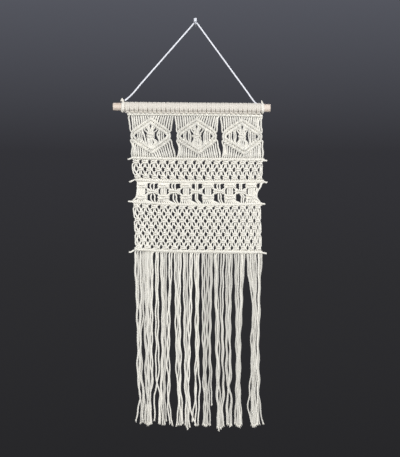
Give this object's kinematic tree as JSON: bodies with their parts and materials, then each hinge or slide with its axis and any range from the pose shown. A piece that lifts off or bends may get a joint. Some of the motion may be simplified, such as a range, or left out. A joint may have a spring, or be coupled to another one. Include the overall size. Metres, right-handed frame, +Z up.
{
  "type": "macrame wall hanging with dowel and wall hook",
  "caption": "Knotted cotton wall hanging on a wooden dowel: diamond panels, square-knot nets, an openwork band and a long fringe, hung by a cord from a small hook.",
  "frame": {"origin": "centre of the flat back of the wall hook, on the wall", "axes": "+Z up, along the hanging's length; +Y into the wall; +X to the right along the dowel, seen from the front"},
  "size_m": [0.3272, 0.0249, 0.8555],
  "materials": {
    "cotton": "matte",
    "hanger_cotton": "matte",
    "wood": "matte",
    "paint": "satin"
  },
  "bodies": {
    "root": {"wall_hook": "paint", "hanging_cord": "hanger_cotton", "cord_tie_left": "hanger_cotton", "cord_tie_right": "hanger_cotton", "dowel": "wood", "heading": "cotton", "top_bar": "cotton", "panel_left": "cotton", "panel_middle": "cotton", "panel_right": "cotton", "bar_a": "cotton", "upper_net": "cotton", "bar_b": "cotton", "openwork_band": "cotton", "bar_c": "cotton", "lower_net": "cotton", "bar_d": "cotton", "fringe": "cotton"}
  },
  "joints": []
}
